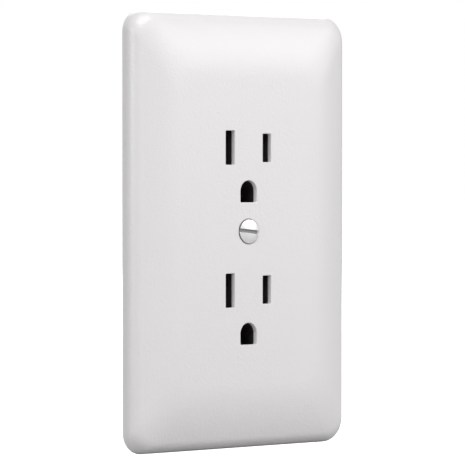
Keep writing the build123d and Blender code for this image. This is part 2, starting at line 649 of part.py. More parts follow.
def save(shape, node):
    """Write one named piece."""
    export_step(shape, f"parts/{node}.step")


save(cover_plate(), "cover_plate")
save(plate_screw(), "plate_screw")
save(receptacle_face(), "receptacle_face")
save(receptacle_base(), "receptacle_base")
save(mounting_strap(), "mounting_strap")
save(plate_screw_insert(), "plate_screw_insert")
save(contact_strip(HOT_SIDE), "hot_contact_strip")
save(contact_strip(NEUTRAL_SIDE), "neutral_contact_strip")
save(ground_contact_rivets(), "ground_contact_rivets")
save(assembly_screws(), "assembly_screws")

for outlet in OUTLETS:
    save(ground_contact(outlet), f"{outlet}_ground_contact")
    save(shutter(outlet), f"{outlet}_shutter")
    save(shutter_spring(outlet), f"{outlet}_shutter_spring")
    save(shutter_cover(outlet), f"{outlet}_shutter_cover")

for row, height in (("upper", TERMINAL_Z), ("lower", -TERMINAL_Z)):
    for pole, side in (("hot", HOT_SIDE), ("neutral", NEUTRAL_SIDE)):
        save(clamp_plate(side, CLAMP_INNER, TERMINAL_Y, height), f"{row}_{pole}_clamp")
        screw = terminal_screw(side, HEAD_INNER, TERMINAL_Y, height, TERMINAL_SHANK)
        save(screw, f"{row}_{pole}_screw")
    box_screw_z = math.copysign(BOX_SCREW_PITCH / 2, height)
    save(mounting_screw(box_screw_z), f"{row}_mounting_screw")
    save(screw_washer(box_screw_z), f"{row}_screw_washer")

ground_clamp_inner = STRAP_HALF_WIDTH + CLAMP_GAP
ground_head_inner = ground_clamp_inner + CLAMP_THICKNESS + HEAD_GAP
save(clamp_plate(NEUTRAL_SIDE, ground_clamp_inner, GROUND_TAB_Y, GROUND_TAB_Z), "ground_clamp")
ground_screw = terminal_screw(NEUTRAL_SIDE, ground_head_inner, GROUND_TAB_Y, GROUND_TAB_Z, GROUND_SHANK)
save(ground_screw, "ground_screw")
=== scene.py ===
import json
import math

import bmesh
import bpy
from mathutils import Matrix, Vector

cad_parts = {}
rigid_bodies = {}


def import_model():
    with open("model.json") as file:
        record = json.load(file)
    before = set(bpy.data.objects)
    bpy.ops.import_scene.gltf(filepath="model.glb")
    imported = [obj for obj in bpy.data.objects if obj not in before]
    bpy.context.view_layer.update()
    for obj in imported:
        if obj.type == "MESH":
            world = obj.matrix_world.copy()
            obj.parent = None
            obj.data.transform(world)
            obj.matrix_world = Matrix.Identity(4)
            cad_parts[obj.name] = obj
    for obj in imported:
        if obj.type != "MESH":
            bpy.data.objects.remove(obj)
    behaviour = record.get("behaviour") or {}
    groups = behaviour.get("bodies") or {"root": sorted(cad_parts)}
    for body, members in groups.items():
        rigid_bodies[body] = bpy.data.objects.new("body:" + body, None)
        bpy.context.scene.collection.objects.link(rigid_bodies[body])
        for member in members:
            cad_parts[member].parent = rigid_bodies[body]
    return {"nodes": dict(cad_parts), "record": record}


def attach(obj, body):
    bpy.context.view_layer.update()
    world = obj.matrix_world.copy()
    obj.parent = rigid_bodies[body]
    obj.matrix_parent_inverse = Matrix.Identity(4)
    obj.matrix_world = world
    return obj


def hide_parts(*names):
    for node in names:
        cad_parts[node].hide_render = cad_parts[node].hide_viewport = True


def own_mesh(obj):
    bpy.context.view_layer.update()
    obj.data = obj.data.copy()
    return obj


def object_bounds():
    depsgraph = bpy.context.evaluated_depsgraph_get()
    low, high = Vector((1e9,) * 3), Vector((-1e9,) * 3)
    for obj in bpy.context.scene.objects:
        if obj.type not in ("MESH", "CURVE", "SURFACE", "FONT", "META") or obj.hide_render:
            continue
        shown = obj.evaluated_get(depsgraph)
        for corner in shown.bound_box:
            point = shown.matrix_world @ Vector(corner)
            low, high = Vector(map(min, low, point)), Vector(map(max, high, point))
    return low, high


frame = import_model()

MM = 0.001
CAD_BOX = [list(c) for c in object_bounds()]
NODES = frame["nodes"]

# ------------------------------------------------------------------ sizes, in mm
# x runs to the right, z up, and y from the room into the wall, whose face is at y = 0.

# cover plate
WIDTH, HEIGHT, FRONT, WALL = 74.5, 119.4, -7.2, 1.5
BACK = FRONT + WALL
CORNER, EDGE, DRAFT = 6.0, 4.3, 0.12
EDGE_TURN = math.radians(75)
SIDE_MARGIN, END_MARGIN, DROP = 14.0, 18.0, 2.2
SKIRT_STEPS, EDGE_STEPS, MARGIN_STEPS = 4, 10, 32
RIM_WEAR = 3.0

# openings of the two outlets, as width and height
SLOT_X, PITCH_Z, RISE, GROUND_DROP = 6.35, 38.894, 3.38, 11.9
NEUTRAL, HOT, GROUND = (3.1, 9.3), (2.9, 7.8), (5.6, 6.0)
SLOT_CORNER, GROUND_CORNER = 0.25, 0.35

# the openings' rounded lip: its size, then its depth and width from front to back, as shares of that size
LIP = 0.14
LIP_CURVE = ((0.0, 1.0), (0.1, 0.55), (0.3, 0.3), (0.55, 0.1), (1.0, 0.0))

# flat rings round the holes and inside the field's border, which keep the shading there even
FRONT_COLLAR, BACK_COLLAR, FIELD_COLLAR = (0.6, 0.4, 0.2), (0.0, 0.2, 0.4), (0.6, 1.2, 1.8)

# plate screw's hole: countersink, bore, and the boss behind the plate
SINK_RADIUS, SINK_DEPTH, BORE_RADIUS = 3.6, 1.77, 1.9
SINK_LIP = ((0.0, 0.0), (0.1, 0.03), (0.18, 0.11))
BOSS_RADIUS, BOSS_END, BOSS_BREAK = 4.5, -4.0, 0.15
BOSS_FOOT = ((0.0, 0.3), (0.1, 0.1), (0.35, 0.0), (0.6, 0.0), (0.8, 0.0))

# screws
THREAD_PITCH, THREAD_DEPTH = 0.79375, 0.42
SMALL_THREAD, TERMINAL_THREAD = 1.745, 2.07
CROWN_FRONT = FRONT - 0.68
PLATE_SCREW_TURN = math.radians(96)
TERMINAL_HEAD, TERMINAL_X, TERMINAL_Y, TERMINAL_Z, TERMINAL_SHANK = 2.2, 15.45, 10.5, 8.0, 7.9
GROUND_X, GROUND_Y, GROUND_Z, GROUND_SHANK = 11.35, 9.0, -40.6, 6.2
MOUNTING_HEAD, MOUNTING_SEAT, MOUNTING_Z, MOUNTING_LENGTH = 1.8, -1.25, 41.67, 25.4

# shutter springs
COIL_START, COIL_END, COIL_Y, COIL_RADIUS, WIRE_RADIUS = -4.19, 2.99, -2.5, 0.95, 0.15
COIL_TURNS, STEPS_A_TURN, WIRE_SIDES = 7, 28, 10
COIL_GATHER = 0.06

# ------------------------------------------------------------------ camera
YAW, PITCH = math.radians(37.785), math.radians(1.04)
DISTANCE = 810.24 * MM
ASIDE, LIFT = -0.04 * MM, -0.392 * MM
LENS, SENSOR = 228.13, 36

forward = Vector((math.sin(YAW) * math.cos(PITCH), math.cos(YAW) * math.cos(PITCH), -math.sin(PITCH)))
right = Vector((math.cos(YAW), -math.sin(YAW), 0))
upward = right.cross(forward)
camera_data = bpy.data.cameras.new("camera")
camera_data.lens = LENS
camera_data.sensor_width = SENSOR
camera_data.clip_start, camera_data.clip_end = 0.01, 50
camera = bpy.data.objects.new("camera", camera_data)
bpy.context.scene.collection.objects.link(camera)
place = -forward * DISTANCE + right * ASIDE + upward * LIFT
turn = Matrix((right, upward, -forward)).transposed().to_4x4()
camera.matrix_world = Matrix.Translation(place) @ turn
bpy.context.scene.camera = camera


# ------------------------------------------------------------------ materials
class Nodes:
    """A material's node tree, with short calls for the nodes used here."""

    ROUNDING = 0.18 * MM

    def __init__(self, name, colour, roughness, metallic=0.0):
        self.material = bpy.data.materials.new(name)
        self.material.use_nodes = True
        self.tree = self.material.node_tree
        self.shader = self.tree.nodes["Principled BSDF"]
        self.shader.inputs["Metallic"].default_value = metallic
        self.shader.inputs["Roughness"].default_value = roughness
        self.shader.inputs["Base Color"].default_value = (*colour, 1)
        self.place = self.new("ShaderNodeTexCoord").outputs["Object"]
        rounding = self.new("ShaderNodeBevel", samples=4)
        rounding.inputs["Radius"].default_value = self.ROUNDING
        self.rounded = rounding.outputs["Normal"]

    def new(self, kind, **settings):
        """A node of the given kind."""
        node = self.tree.nodes.new(kind)
        for key, value in settings.items():
            setattr(node, key, value)
        return node

    def link(self, output, target):
        """Joins an output to an input."""
        self.tree.links.new(output, target)

    def stretch(self, scale):
        """Object coordinates scaled differently along each axis."""
        mapping = self.new("ShaderNodeMapping")
        mapping.inputs["Scale"].default_value = scale
        self.link(self.place, mapping.inputs["Vector"])
        return mapping.outputs["Vector"]

    def noise(self, scale, detail, vector=None):
        """Cloudy noise about a middle of 0.5."""
        node = self.new("ShaderNodeTexNoise")
        node.inputs["Scale"].default_value = scale
        node.inputs["Detail"].default_value = detail
        node.inputs["Roughness"].default_value = 0.55
        self.link(vector or self.place, node.inputs["Vector"])
        return node.outputs["Fac"]

    def cells(self, scale):
        """Smooth cells, as in a pebbled mould."""
        node = self.new("ShaderNodeTexVoronoi", feature="SMOOTH_F1")
        node.inputs["Scale"].default_value = scale
        self.link(self.place, node.inputs["Vector"])
        return node.outputs["Distance"]

    def remap(self, value, low, high, to_low, to_high):
        """A value moved from one range to another, and kept inside it."""
        node = self.new("ShaderNodeMapRange")
        for key, number in zip(("From Min", "From Max", "To Min", "To Max"), (low, high, to_low, to_high)):
            node.inputs[key].default_value = number
        self.link(value, node.inputs["Value"])
        return node.outputs["Result"]

    def maths(self, operation, a, b=0):
        """One step of arithmetic on outputs or plain numbers."""
        node = self.new("ShaderNodeMath", operation=operation)
        for socket, value in zip(node.inputs, (a, b)):
            if isinstance(value, (int, float)):
                socket.default_value = value
            else:
                self.link(value, socket)
        return node.outputs["Value"]

    def tint(self, factor, a, b):
        """A mix of two colours, each given as a tuple or as an output."""
        node = self.new("ShaderNodeMix", data_type="RGBA")
        self.link(factor, node.inputs["Factor"])
        for socket, value in zip((node.inputs[6], node.inputs[7]), (a, b)):
            if isinstance(value, tuple):
                socket.default_value = (*value, 1)
            else:
                self.link(value, socket)
        return node.outputs[2]

    def axis(self, name):
        """One of the object coordinates."""
        node = self.new("ShaderNodeSeparateXYZ")
        self.link(self.place, node.inputs["Vector"])
        return node.outputs[name]

    def rim(self, half_width, half_height, reach):
        """How near a point lies to a plate's outer rim."""
        sides = self.maths("SUBTRACT", self.maths("ABSOLUTE", self.axis("X")), half_width)
        ends = self.maths("SUBTRACT", self.maths("ABSOLUTE", self.axis("Z")), half_height)
        nearness = self.remap(self.maths("MAXIMUM", sides, ends), -reach, 0, 0, 1)
        return self.maths("MULTIPLY", nearness, self.noise(400, 4))

    def edges(self):
        """How much a point lies on a worn edge: where the rounded surface leaves the flat one."""
        turned = self.new("ShaderNodeVectorMath", operation="DOT_PRODUCT")
        self.link(self.rounded, turned.inputs[0])
        self.link(self.new("ShaderNodeNewGeometry").outputs["Normal"], turned.inputs[1])
        bent = self.remap(turned.outputs["Value"], 0.8, 0.98, 1, 0)
        return self.maths("MULTIPLY", bent, self.remap(self.noise(500, 4), 0.3, 0.6, 0.3, 1))

    def bump(self, height, strength, distance, normal=None):
        """A normal bent by a height, over the rounded edges unless another normal is given."""
        node = self.new("ShaderNodeBump")
        node.inputs["Strength"].default_value = strength
        node.inputs["Distance"].default_value = distance
        self.link(height, node.inputs["Height"])
        self.link(normal or self.rounded, node.inputs["Normal"])
        return node.outputs["Normal"]


def shade(colour, factor):
    """A colour made lighter or darker."""
    return tuple(min(1.0, c * factor) for c in colour)


def plastic(name, colour, roughness, grain, depth, worn, spread=0.06, polish=0.055, rim=None):
    """Moulded plastic: fine pebble grain, slight colour drift, lighter worn edges."""
    m = Nodes(name, colour, roughness)
    drift = m.noise(60, 4)
    base = m.tint(drift, shade(colour, 1 - spread), shade(colour, 1 + spread / 2))
    base = m.tint(m.rim(*rim) if rim else m.edges(), base, shade(colour, worn))
    m.link(base, m.shader.inputs["Base Color"])
    pebble = m.maths("ADD", m.cells(grain), m.noise(grain * 1.7, 2))
    uneven = m.remap(m.noise(130, 4), 0.3, 0.7, roughness - polish, roughness + polish)
    m.link(uneven, m.shader.inputs["Roughness"])
    m.link(m.bump(pebble, 0.5, depth * MM), m.shader.inputs["Normal"])
    return m.material


def metal(name, colour, roughness, stroke=(60, 2600, 2600), stain=0.12, tarnish=None, slot_painted_shade=None,
          metallic=1.0):
    """Plated or rolled metal: fine drawn lines, cloudy plating and brighter rubbed edges; where given, painted
    shade darkens a slot's walls and floor.
    """
    m = Nodes(name, colour, roughness, metallic)
    lines = m.noise(1.0, 2, m.stretch(stroke))
    cloud = m.noise(190, 5)
    clouded = m.remap(cloud, 0.35, 0.7, 0, 1)
    base = m.tint(clouded, shade(colour, 1 - stain), tarnish or shade(colour, 1.04))
    base = m.tint(m.edges(), base, shade(colour, 1.18))
    # painted shade: past a set depth the colour is darkened, standing in for the shade inside the plate screw's
    # slot
    if slot_painted_shade:
        base = m.tint(m.remap(m.axis("Y"), *slot_painted_shade, 0, 1), base, shade(colour, 0.36))
    m.link(base, m.shader.inputs["Base Color"])
    drawn = m.remap(lines, 0.3, 0.7, -0.05, 0.05)
    dull = m.remap(cloud, 0.3, 0.7, roughness - 0.06, roughness + 0.1)
    m.link(m.maths("ADD", drawn, dull), m.shader.inputs["Roughness"])
    pitted = m.bump(m.noise(700, 3), 0.2, 0.01 * MM)
    m.link(m.bump(lines, 0.25, 0.006 * MM, pitted), m.shader.inputs["Normal"])
    return m.material


def fibre(name, colour):
    """Pressed fibre board: mottled, dull, with short fibres."""
    m = Nodes(name, colour, 0.85)
    strands = m.noise(1.0, 4, m.stretch((700, 700, 3200)))
    cross = m.noise(1.0, 4, m.stretch((3400, 700, 700)))
    both = m.maths("MULTIPLY", strands, cross)
    mottled = m.tint(m.remap(both, 0.12, 0.4, 0, 1), shade(colour, 0.6), shade(colour, 1.35))
    m.link(mottled, m.shader.inputs["Base Color"])
    m.link(m.bump(both, 0.7, 0.03 * MM), m.shader.inputs["Normal"])
    return m.material


UPRIGHT = (2600, 2600, 60)
# depths over which painted shade darkens the plate screw's slot
SLOT_SHADE = ((FRONT - 0.3) * MM, (FRONT - 0.24) * MM)
PLATE_RIM = (WIDTH / 2 * MM, HEIGHT / 2 * MM, RIM_WEAR * MM)

PLATE_WHITE = plastic("plate_white", (0.80, 0.785, 0.79), 0.3, 1500, 0.07, 1.04, spread=0.012, polish=0.012,
                      rim=PLATE_RIM)
FACE_DARK = plastic("housing_dark", (0.045, 0.045, 0.048), 0.45, 1400, 0.012, 2.2)
BASE_DARK = plastic("base_dark", (0.022, 0.022, 0.025), 0.46, 1100, 0.02, 2.2)
SHUTTER_DARK = plastic("shutter_dark", (0.014, 0.014, 0.016), 0.4, 1600, 0.01, 1.8)
NICKEL = metal("screw_nickel", (0.84, 0.83, 0.82), 0.38, stain=0.05)
PLATE_NICKEL = metal("plate_screw_nickel", (0.90, 0.90, 0.90), 0.4, stain=0.04, slot_painted_shade=SLOT_SHADE, metallic=0.6)
ZINC = metal("screw_zinc", (0.70, 0.72, 0.74), 0.3, tarnish=(0.76, 0.74, 0.66))
STRAP_ZINC = metal("strap_zinc", (0.62, 0.635, 0.65), 0.34, UPRIGHT, tarnish=(0.70, 0.69, 0.62))
CLAMP_STEEL = metal("clamp_steel", (0.56, 0.57, 0.58), 0.36, tarnish=(0.62, 0.61, 0.55))
BRASS = metal("contact_brass", (0.83, 0.60, 0.24), 0.28, UPRIGHT, tarnish=(0.72, 0.47, 0.18))
SCREW_BRASS = metal("screw_brass", (0.86, 0.63, 0.26), 0.24, tarnish=(0.76, 0.52, 0.2))
GREEN = metal("screw_green", (0.03, 0.26, 0.09), 0.3, tarnish=(0.05, 0.33, 0.13))
SPRING_STEEL = metal("spring_steel", (0.6, 0.6, 0.62), 0.25)
FIBRE = fibre("washer_fibre", (0.30, 0.17, 0.09))

BY_SLOT = {
    "plate_white": PLATE_WHITE, "screw_nickel": NICKEL, "housing_dark": FACE_DARK, "base_dark": BASE_DARK,
    "shutter_dark": SHUTTER_DARK, "strap_zinc": STRAP_ZINC, "contact_brass": BRASS, "screw_brass": SCREW_BRASS,
    "screw_green": GREEN, "screw_zinc": ZINC, "clamp_steel": CLAMP_STEEL, "washer_fibre": FIBRE,
    "spring_steel": SPRING_STEEL,
}


# ------------------------------------------------------------------ mesh helpers
class Shape:
    """Vertices and faces gathered for one piece, in metres."""

    def __init__(self):
        self.points = []
        self.faces = []

    def loop(self, points):
        """Adds points and gives back their indices."""
        start = len(self.points)
        self.points.extend(points)
        return list(range(start, len(self.points)))

    def band(self, a, b):
        """Quads between two closed loops of the same length."""
        count = len(a)
        for i in range(count):
            j = (i + 1) % count
            self.faces.append((a[i], a[j], b[j], b[i]))

    def skin(self, loops):
        """Bands between each loop and the next."""
        for a, b in zip(loops, loops[1:]):
            self.band(a, b)

    def cap(self, loop, centre):
        """A fan of triangles that closes a loop."""
        middle = self.loop([centre])[0]
        for i, a in enumerate(loop):
            self.faces.append((a, loop[(i + 1) % len(loop)], middle))

    def mesh(self, name):
        """The Blender mesh of what was gathered."""
        mesh = bpy.data.meshes.new(name)
        mesh.from_pydata([tuple(p) for p in self.points], [], self.faces)
        return mesh


def smooth(mesh, angle):
    """Shades a mesh smooth, except across edges sharper than the angle."""
    mesh.polygons.foreach_set("use_smooth", [True] * len(mesh.polygons))
    mesh.set_sharp_from_angle(angle=math.radians(angle))


def finish_mesh(mesh, angle=32):
    """Welds a mesh, turns its faces outward and smooths it."""
    work = bmesh.new()
    work.from_mesh(mesh)
    bmesh.ops.remove_doubles(work, verts=work.verts, dist=1e-7)
    bmesh.ops.recalc_face_normals(work, faces=work.faces)
    work.to_mesh(mesh)
    work.free()
    smooth(mesh, angle)


def add_piece(name, mesh, material, body, slot, *nodes):
    """Puts a piece in the scene, on its body, in place of its CAD node."""
    piece = bpy.data.objects.new(name, mesh)
    mesh.materials.clear()
    mesh.materials.append(material)
    bpy.context.scene.collection.objects.link(piece)
    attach(piece, body)
    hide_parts(*nodes)
    return piece


def cut(mesh, cutters):
    """The mesh with the cutters' meshes taken out."""
    scene = bpy.context.scene.collection.objects
    holder = bpy.data.objects.new("work", mesh)
    scene.link(holder)
    tools = []
    for cutter in cutters:
        tool = bpy.data.objects.new("cutter", cutter)
        scene.link(tool)
        tools.append(tool)
        change = holder.modifiers.new("cut", "BOOLEAN")
        change.operation, change.object, change.solver = "DIFFERENCE", tool, "EXACT"
    bpy.context.view_layer.update()
    result = bpy.data.meshes.new_from_object(holder.evaluated_get(bpy.context.evaluated_depsgraph_get()))
    for thing in tools + [holder]:
        bpy.data.objects.remove(thing)
    return result


# ------------------------------------------------------------------ cover plate
def rounded(width, height, radius, y, steps=14, x=0.0, z=0.0):
    """A rounded rectangle's outline seen from the front, at depth y."""
    points = []
    for quarter, (sx, sz) in enumerate(((1, 1), (-1, 1), (-1, -1), (1, -1))):
        cx, cz = x + sx * (width / 2 - radius), z + sz * (height / 2 - radius)
        for step in range(steps + 1):
            angle = math.pi / 2 * (quarter + step / steps)
            points.append(Vector((cx + radius * math.cos(angle), y, cz + radius * math.sin(angle))) * MM)
    return points


def slot_outline(width, height, x, z):
    """A blade slot's outline, as a function of the depth and of how far it is grown all round."""
    return lambda y, grow: rounded(width + 2 * grow, height + 2 * grow, SLOT_CORNER + grow, y, 5, x, z)


def arch_outline(width, height, z, steps=24, corner_steps=4):
    """A ground hole's outline, as a function like a slot's: half-round top, flat bottom with small corners."""

    def outline(y, grow):
        radius = width / 2 + grow
        crown = height / 2 + grow - radius
        foot = -height / 2 - grow
        small = GROUND_CORNER + grow
        points = []
        for step in range(steps + 1):
            angle = math.pi * step / steps
            points.append((radius * math.cos(angle), crown + radius * math.sin(angle)))
        for quarter, sx in ((2, -1), (3, 1)):
            for step in range(corner_steps + 1):
                angle = math.pi / 2 * (quarter + step / corner_steps)
                across = sx * (radius - small) + small * math.cos(angle)
                points.append((across, foot + small + small * math.sin(angle)))
        return [Vector((px, y, z + pz)) * MM for px, pz in points]

    return outline


def circle(radius, y, steps=64):
    """A circle round the plate screw's axis, at depth y."""
    angles = [2 * math.pi * i / steps for i in range(steps)]
    return [Vector((radius * math.cos(angle), y, radius * math.sin(angle))) * MM for angle in angles]


def pillow_loops(shape, inset):
    """Outlines from the rim over the skirt, edge and margins up to the flat field."""
    width, height, corner = WIDTH - 2 * inset, HEIGHT - 2 * inset, CORNER - inset
    edge, front = EDGE - inset, FRONT + inset
    skirt_top = front + DROP + edge * math.sin(EDGE_TURN)
    rings = [(0.0, 0.0, 0.0)]
    for step in range(1, SKIRT_STEPS + 1):
        share = step / SKIRT_STEPS
        rings.append((DRAFT * share, DRAFT * share, skirt_top * share))
    for step in range(1, EDGE_STEPS + 1):
        angle = EDGE_TURN * step / EDGE_STEPS
        reach = DRAFT + edge * (1 - math.cos(angle))
        rings.append((reach, reach, skirt_top - edge * math.sin(angle)))
    for step in range(1, MARGIN_STEPS + 1):
        share = step / MARGIN_STEPS
        side = reach + (SIDE_MARGIN - inset - reach) * share
        end = reach + (END_MARGIN - inset - reach) * share
        rings.append((side, end, front + DROP * (1 - share) ** 2))
    for beyond in FIELD_COLLAR:
        rings.append((SIDE_MARGIN - inset + beyond, END_MARGIN - inset + beyond, front))
    return [shape.loop(rounded(width - 2 * a, height - 2 * b, corner, y)) for a, b, y in rings]


def opening_loops(shape, outline):
    """An opening's loops through the wall, with a rounded lip at the front."""
    levels = [(FRONT, LIP + more) for more in FRONT_COLLAR]
    levels += [(FRONT + deep * LIP, wide * LIP) for deep, wide in LIP_CURVE]
    levels += [(BACK, more) for more in BACK_COLLAR]
    return [shape.loop(outline(y, grow)) for y, grow in levels]


def screw_hole_loops(shape):
    """The plate screw's hole: countersink, bore, and round the boss to the plate's back."""
    rings = [(SINK_RADIUS + more, FRONT) for more in FRONT_COLLAR]
    rings += [(SINK_RADIUS - less, FRONT + deep) for less, deep in SINK_LIP]
    rings += [(BORE_RADIUS, FRONT + SINK_DEPTH), (BORE_RADIUS, BOSS_END - BOSS_BREAK)]
    rings += [(BORE_RADIUS + BOSS_BREAK, BOSS_END), (BOSS_RADIUS - BOSS_BREAK, BOSS_END)]
    rings += [(BOSS_RADIUS, BOSS_END - BOSS_BREAK)]
    rings += [(BOSS_RADIUS + wide, BACK - high) for wide, high in BOSS_FOOT]
    return [shape.loop(circle(radius, y)) for radius, y in rings]


def fill(shape, loops):
    """Flat triangles between an outer loop and the holes in it."""
    work = bmesh.new()
    made = {}
    for loop in loops:
        verts = [work.verts.new(shape.points[i]) for i in loop]
        for vert, index in zip(verts, loop):
            made[vert] = index
        for a, b in zip(verts, verts[1:] + verts[:1]):
            work.edges.new((a, b))
    bmesh.ops.triangle_fill(work, use_beauty=True, use_dissolve=False, edges=work.edges[:])
    for face in work.faces:
        shape.faces.append(tuple(made[v] for v in face.verts))
    work.free()


def make_plate():
    """The cover plate: a thin pillow shell with six openings and the screw's hole."""
    shape = Shape()
    outer, inner = pillow_loops(shape, 0), pillow_loops(shape, WALL)
    shape.skin(outer)
    shape.skin(inner)
    shape.band(outer[0], inner[0])
    holes = []
    for centre in (PITCH_Z / 2, -PITCH_Z / 2):
        line = centre + RISE
        for outline in (slot_outline(*NEUTRAL, -SLOT_X, line), slot_outline(*HOT, SLOT_X, line),
                        arch_outline(*GROUND, line - GROUND_DROP)):
            holes.append(opening_loops(shape, outline))
    holes.append(screw_hole_loops(shape))
    for loops in holes:
        shape.skin(loops)
    fill(shape, [outer[-1]] + [loops[0] for loops in holes])
    fill(shape, [inner[-1]] + [loops[-1] for loops in holes])
    mesh = shape.mesh("plate_shell")
    finish_mesh(mesh, 40)
    mesh.polygons.foreach_set("use_smooth", [abs(face.normal.y) < 0.99999 for face in mesh.polygons])
    add_piece("plate_shell", mesh, PLATE_WHITE, "plate", "plate_white", "cover_plate")


# ------------------------------------------------------------------ screws
def axis_frame(origin, direction):
    """A map from (radius, angle, distance) to points about an axis. Angle 0 is up and turns right-handed."""
    origin, direction, first = Vector(origin), Vector(direction), Vector((0, 0, 1))
    second = direction.cross(first)

    def point(radius, angle, along):
        offset = first * (radius * math.cos(angle)) + second * (radius * math.sin(angle)) + direction * along
        return (origin + offset) * MM

    return point


def lathe(shape, point, profile, steps=96):
    """Loops turned about an axis from a profile of radii and distances."""
    loops = []
    for radius, along in profile:
        loops.append(shape.loop([point(radius, 2 * math.pi * i / steps, along) for i in range(steps)]))
    shape.skin(loops)
    return loops


def thread(shape, point, start, end, major, steps=40, per_turn=10):
    """A right-hand thread from start to end, run out at both ends, closed at the tip."""
    rows = round((end - start) / THREAD_PITCH * per_turn)
    loops = []
    for row in range(rows + 1):
        along = start + (end - start) * row / rows
        fade = min(1.0, (along - start) / 0.5, (end - along) / 0.8 + 0.25)
        taper = max(0.0, 0.75 - (end - along)) * 0.55
        ring = []
        for i in range(steps):
            angle = 2 * math.pi * i / steps
            phase = (along / THREAD_PITCH - angle / (2 * math.pi)) % 1.0
            slope = abs(2 * phase - 1)
            groove = min(1.0, max(0.0, (0.92 - slope) / 0.72))
            ring.append(point(major - THREAD_DEPTH * groove * fade - taper, angle, along))
        loops.append(shape.loop(ring))
    shape.skin(loops)
    shape.cap(loops[-1], point(0, 0, end + 0.02))
    return loops[0]


def slot_cutter(half_width, top, floor, reach, angle=0.0, lip=0.0):
    """A straight slot across a head, from above its top to the floor, with a broken edge where lip is given."""

    def make(point):
        shape = Shape()
        levels = [(top - 2, half_width + lip), (floor, half_width)]
        if lip:
            levels[1:1] = [(top, half_width + lip), (top + lip, half_width)]
        loops = []
        for along, half in levels:
            corners = ((-reach, -half), (-reach, half), (reach, half), (reach, -half))
            polar = [(math.hypot(s, w), math.atan2(w, s) + angle) for s, w in corners]
            loops.append(shape.loop([point(radius, turn, along) for radius, turn in polar]))
        shape.skin(loops)
        shape.faces += [tuple(loops[0]), tuple(reversed(loops[-1]))]
        mesh = shape.mesh("cutter")
        finish_mesh(mesh)
        return mesh

    return make


def crown_profile(radius, rise, start, steps=16):
    """Points of a spherical crown from its middle out to its edge."""
    ball = (radius**2 + rise**2) / (2 * rise)
    points = []
    for step in range(1, steps + 1):
        r = radius * step / steps
        points.append((r, start + ball - math.sqrt(ball**2 - r**2)))
    return points


def screw_piece(name, node, body, material, slot, point, head, cutters, start, tip, major):
    """A slotted screw: a turned head with its slots cut, then a real helical thread from start to tip."""
    top = Shape()
    loops = lathe(top, point, head)
    top.cap(loops[0], point(0, 0, head[0][1]))
    top.cap(loops[-1], point(0, 0, head[-1][1]))
    mesh = top.mesh(name)
    finish_mesh(mesh, 30)
    mesh = cut(mesh, [make(point) for make in cutters])
    shank = Shape()
    first_loop = thread(shank, point, start, tip, major)
    shank.cap(first_loop, point(0, 0, start))
    work = bmesh.new()
    work.from_mesh(mesh)
    work.from_mesh(shank.mesh("thread"))
    bmesh.ops.recalc_face_normals(work, faces=work.faces)
    joined = bpy.data.meshes.new(name)
    work.to_mesh(joined)
    work.free()
    smooth(joined, 30)
    add_piece(name, joined, material, body, slot, node)


def make_plate_screw():
    """The oval-head screw that holds the plate, with one slot a little past level."""
    head = crown_profile(3.2, 0.36, CROWN_FRONT)
    head += [(3.27, CROWN_FRONT + 0.39), (3.31, CROWN_FRONT + 0.45), (3.32, FRONT - 0.1), (3.3, FRONT + 0.06)]
    head += [(1.78, FRONT + 1.8), (1.72, FRONT + 2.3)]
    slot = slot_cutter(0.5, CROWN_FRONT, FRONT + 0.35, 5, PLATE_SCREW_TURN)
    screw_piece("slotted_plate_screw", "plate_screw", "plate_fastener", PLATE_NICKEL, "screw_nickel",
                axis_frame((0, 0, 0), (0, 1, 0)), head, [slot], FRONT + 2.2, FRONT + 12.7, SMALL_THREAD)


def make_terminal_screw(name, body, material, slot, side, inner, y, z, shank):
    """A binding-head terminal screw on the given side, with a long slot and a short one across it."""
    front = -TERMINAL_HEAD
    head = [(0.9, front), (1.8, front), (2.7, front), (3.2, front + 0.05), (3.5, front + 0.14)]
    head += [(3.8, front + 0.34), (3.98, front + 0.6), (4.08, front + 0.95), (4.1, front + 1.3)]
    head += [(4.1, -0.3), (4.05, -0.15), (3.95, -0.04), (3.8, 0.0), (2.0, 0.0), (2.0, 0.4)]
    cutters = [slot_cutter(0.6, front, front + 1.1, 6, math.radians(90), 0.1),
               slot_cutter(0.5, front, front + 0.9, 2.3, 0, 0.1)]
    screw_piece(f"{name}_head_and_thread", f"{name}_screw", body, material, slot,
                axis_frame((side * inner, y, z), (-side, 0, 0)), head, cutters, 0.3, shank, TERMINAL_THREAD)


def make_mounting_screw(name, z):
    """An oval-head screw that holds the strap to the wall box, with a long slot and a short one across it."""
    seat, crown = MOUNTING_SEAT, MOUNTING_SEAT - MOUNTING_HEAD
    head = crown_profile(2.9, 0.6, crown)
    head += [(3.2, seat - 0.8), (3.36, seat - 0.5), (3.4, seat - 0.25), (3.32, seat - 0.06), (3.1, seat)]
    head += [(1.6, seat), (1.58, 0.95)]
    cutters = [slot_cutter(0.55, crown, crown + 1.0, 5),
               slot_cutter(0.5, crown, crown + 0.85, 1.9, math.radians(90))]
    screw_piece(f"{name}_box_screw_with_thread", f"{name}_mounting_screw", f"{name}_box_screw", ZINC,
                "screw_zinc", axis_frame((0, 0, z), (0, 1, 0)), head, cutters, 0.9, seat + MOUNTING_LENGTH,
                SMALL_THREAD)


make_plate()
make_plate_screw()
for row, up in (("upper", 1), ("lower", -1)):
    for pole, side, finish, slot in (("hot", 1, SCREW_BRASS, "screw_brass"),
                                     ("neutral", -1, NICKEL, "screw_nickel")):
        name = f"{row}_{pole}"
        make_terminal_screw(name, f"{name}_terminal_screw", finish, slot, side, TERMINAL_X, TERMINAL_Y,
                            up * TERMINAL_Z, TERMINAL_SHANK)
    make_mounting_screw(row, up * MOUNTING_Z)
make_terminal_screw("ground", "ground_terminal_screw", GREEN, "screw_green", -1, GROUND_X, GROUND_Y, GROUND_Z,
                    GROUND_SHANK)


